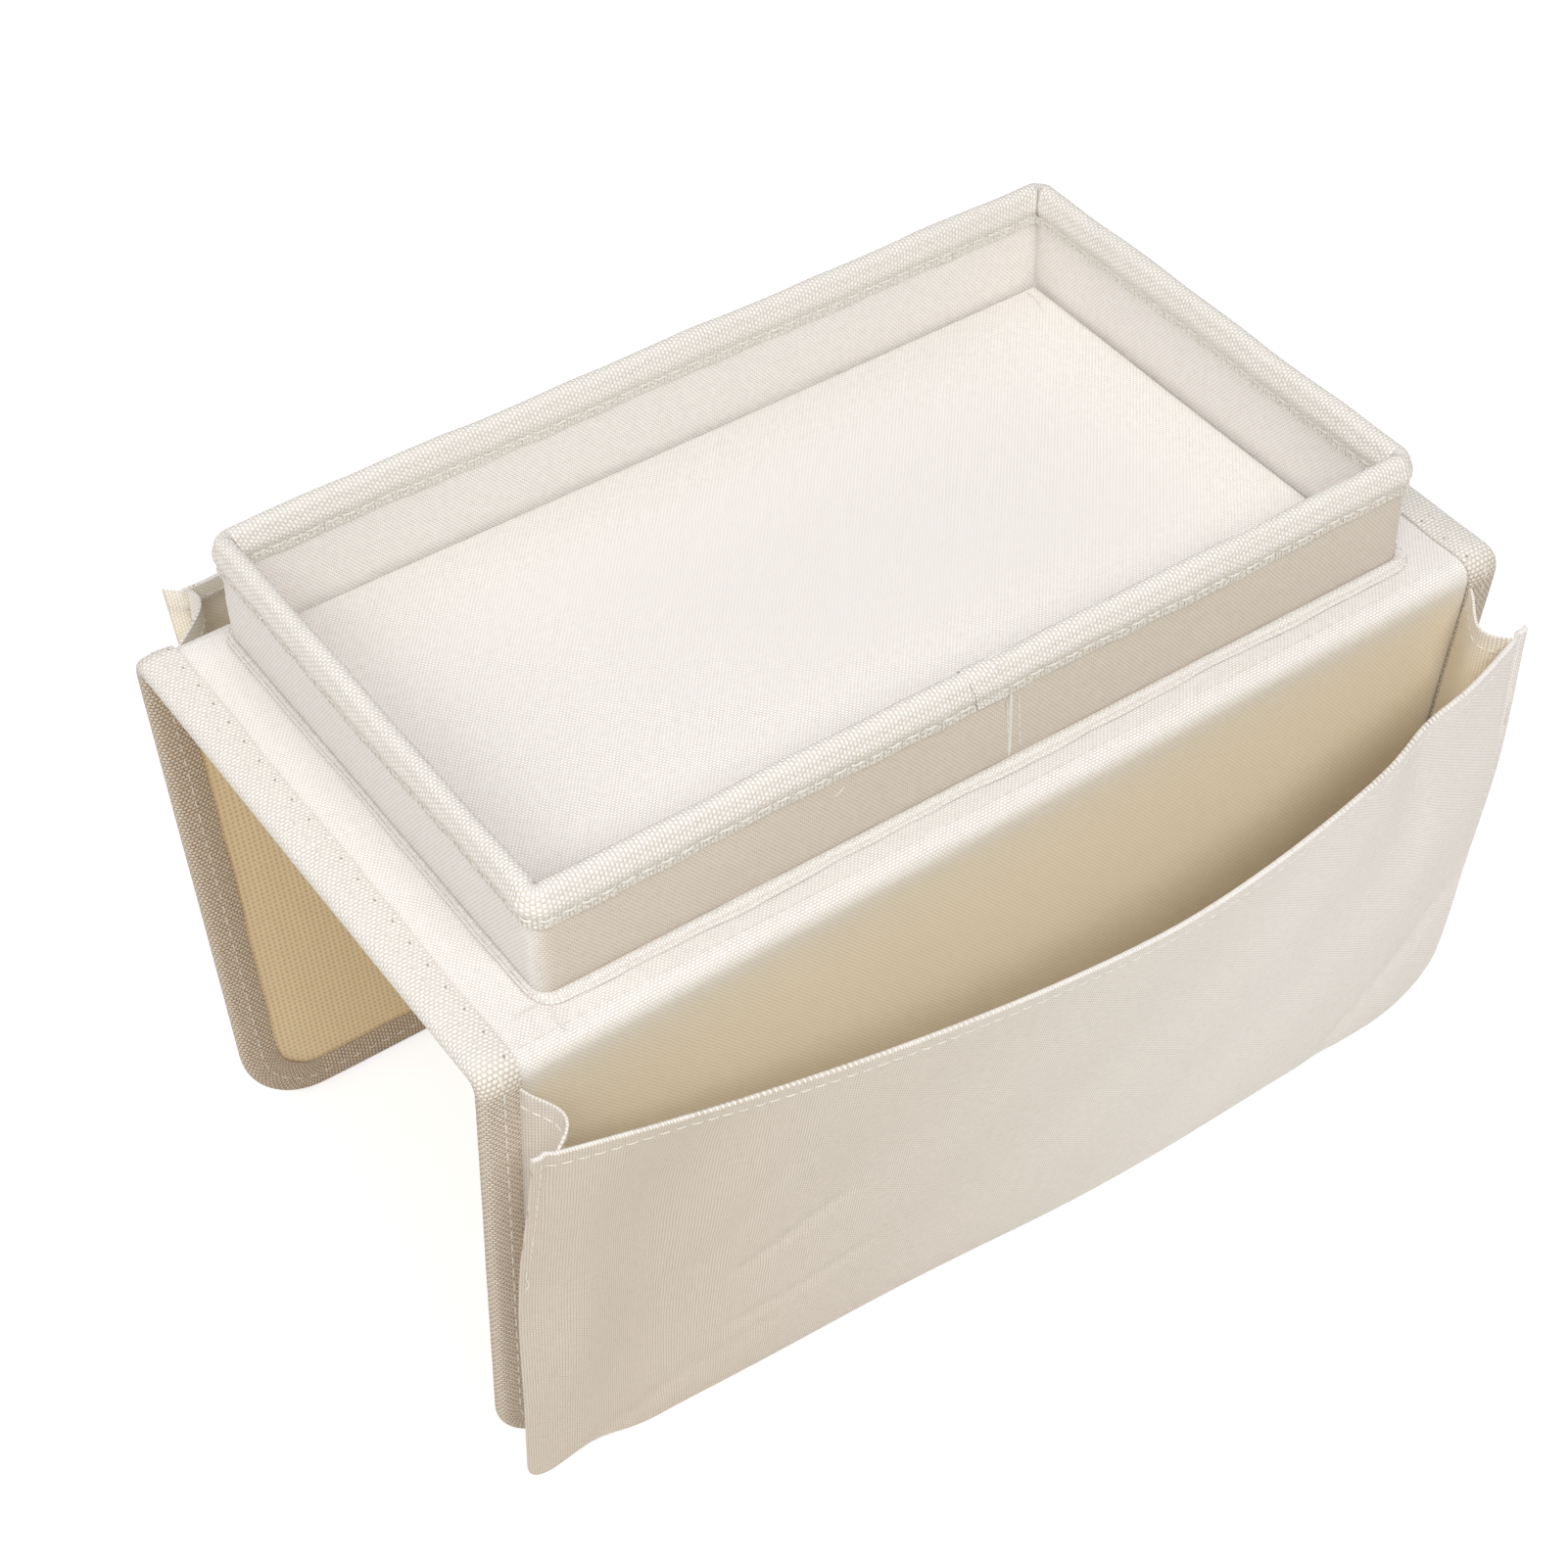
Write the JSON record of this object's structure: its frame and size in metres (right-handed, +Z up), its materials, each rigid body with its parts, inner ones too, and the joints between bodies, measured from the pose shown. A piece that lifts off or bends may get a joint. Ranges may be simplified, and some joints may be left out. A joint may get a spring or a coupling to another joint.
{
  "type": "sofa armrest organizer",
  "caption": "Cream woven saddle that hangs over a sofa arm, with a shallow open tray on top and a bulging box pocket on the outside of each hanging flap.",
  "frame": {"origin": "middle of the seat face under the saddle's top, where it lies on the sofa arm", "axes": "+X along the sofa arm, +Y towards the rear flap, +Z up out of the tray"},
  "size_m": [0.352, 0.287, 0.2334],
  "materials": {
    "cover": "plain-weave polyester canvas, matt, cream",
    "tape": "heavier ribbed binding tape, matt, cream",
    "lining": "dotted non-woven lining, matt, tan",
    "board": "bare stiffener sheet, hidden inside the cloth"
  },
  "bodies": {
    "saddle": {"top_lining": "lining", "top_board": "board", "top_cover": "cover", "top_binding_left": "tape", "top_binding_right": "tape", "tray_outer_cloth": "cover", "tray_inner_cloth": "cover", "tray_board_front": "board", "tray_board_rear": "board", "tray_board_left": "board", "tray_board_right": "board", "tray_rim_binding": "tape", "tray_base_welt": "cover", "front_fold_cover": "cover", "front_fold_lining": "lining", "front_fold_binding_left": "tape", "front_fold_binding_right": "tape", "rear_fold_cover": "cover", "rear_fold_lining": "lining", "rear_fold_binding_left": "tape", "rear_fold_binding_right": "tape"},
    "tray_floor": {"floor_cover": "cover", "floor_board": "board"},
    "front_flap": {"front_flap_lining": "lining", "front_flap_board": "board", "front_flap_cover": "cover", "front_flap_binding": "tape", "front_pocket_gusset_left": "cover", "front_pocket_gusset_right": "cover"},
    "front_pocket": {"front_pocket_panel": "cover", "front_pocket_gusset_bottom": "cover"},
    "rear_flap": {"rear_flap_lining": "lining", "rear_flap_board": "board", "rear_flap_cover": "cover", "rear_flap_binding": "tape", "rear_pocket_gusset_left": "cover", "rear_pocket_gusset_right": "cover"},
    "rear_pocket": {"rear_pocket_panel": "cover", "rear_pocket_gusset_bottom": "cover"}
  },
  "joints": [
    {"name": "front_flap_fold", "type": "hinge", "parent": "saddle", "child": "front_flap", "pos_m": [0, -0.093, -0.0024], "axis": [-1, 0, 0], "range_deg": [-20, 96.5], "deforming": ["front_fold_cover", "front_fold_lining", "front_fold_binding_left", "front_fold_binding_right"]},
    {"name": "front_pocket_open", "type": "hinge", "parent": "front_flap", "child": "front_pocket", "pos_m": [0, -0.08049, -0.18114], "axis": [1, 0, 0], "range_deg": [-5, 6], "deforming": ["front_pocket_gusset_left", "front_pocket_gusset_right"]},
    {"name": "rear_flap_fold", "type": "hinge", "parent": "saddle", "child": "rear_flap", "pos_m": [0, 0.093, -0.0024], "axis": [1, 0, 0], "range_deg": [-20, 94], "deforming": ["rear_fold_cover", "rear_fold_lining", "rear_fold_binding_left", "rear_fold_binding_right"]},
    {"name": "rear_pocket_open", "type": "hinge", "parent": "rear_flap", "child": "rear_pocket", "pos_m": [0, 0.08829, -0.18151], "axis": [-1, 0, 0], "range_deg": [-5, 3], "deforming": ["rear_pocket_gusset_left", "rear_pocket_gusset_right"]},
    {"name": "floor_lift", "type": "slide", "parent": "saddle", "child": "tray_floor", "axis": [0, 0, 1], "range_m": [0, 0.06]}
  ]
}
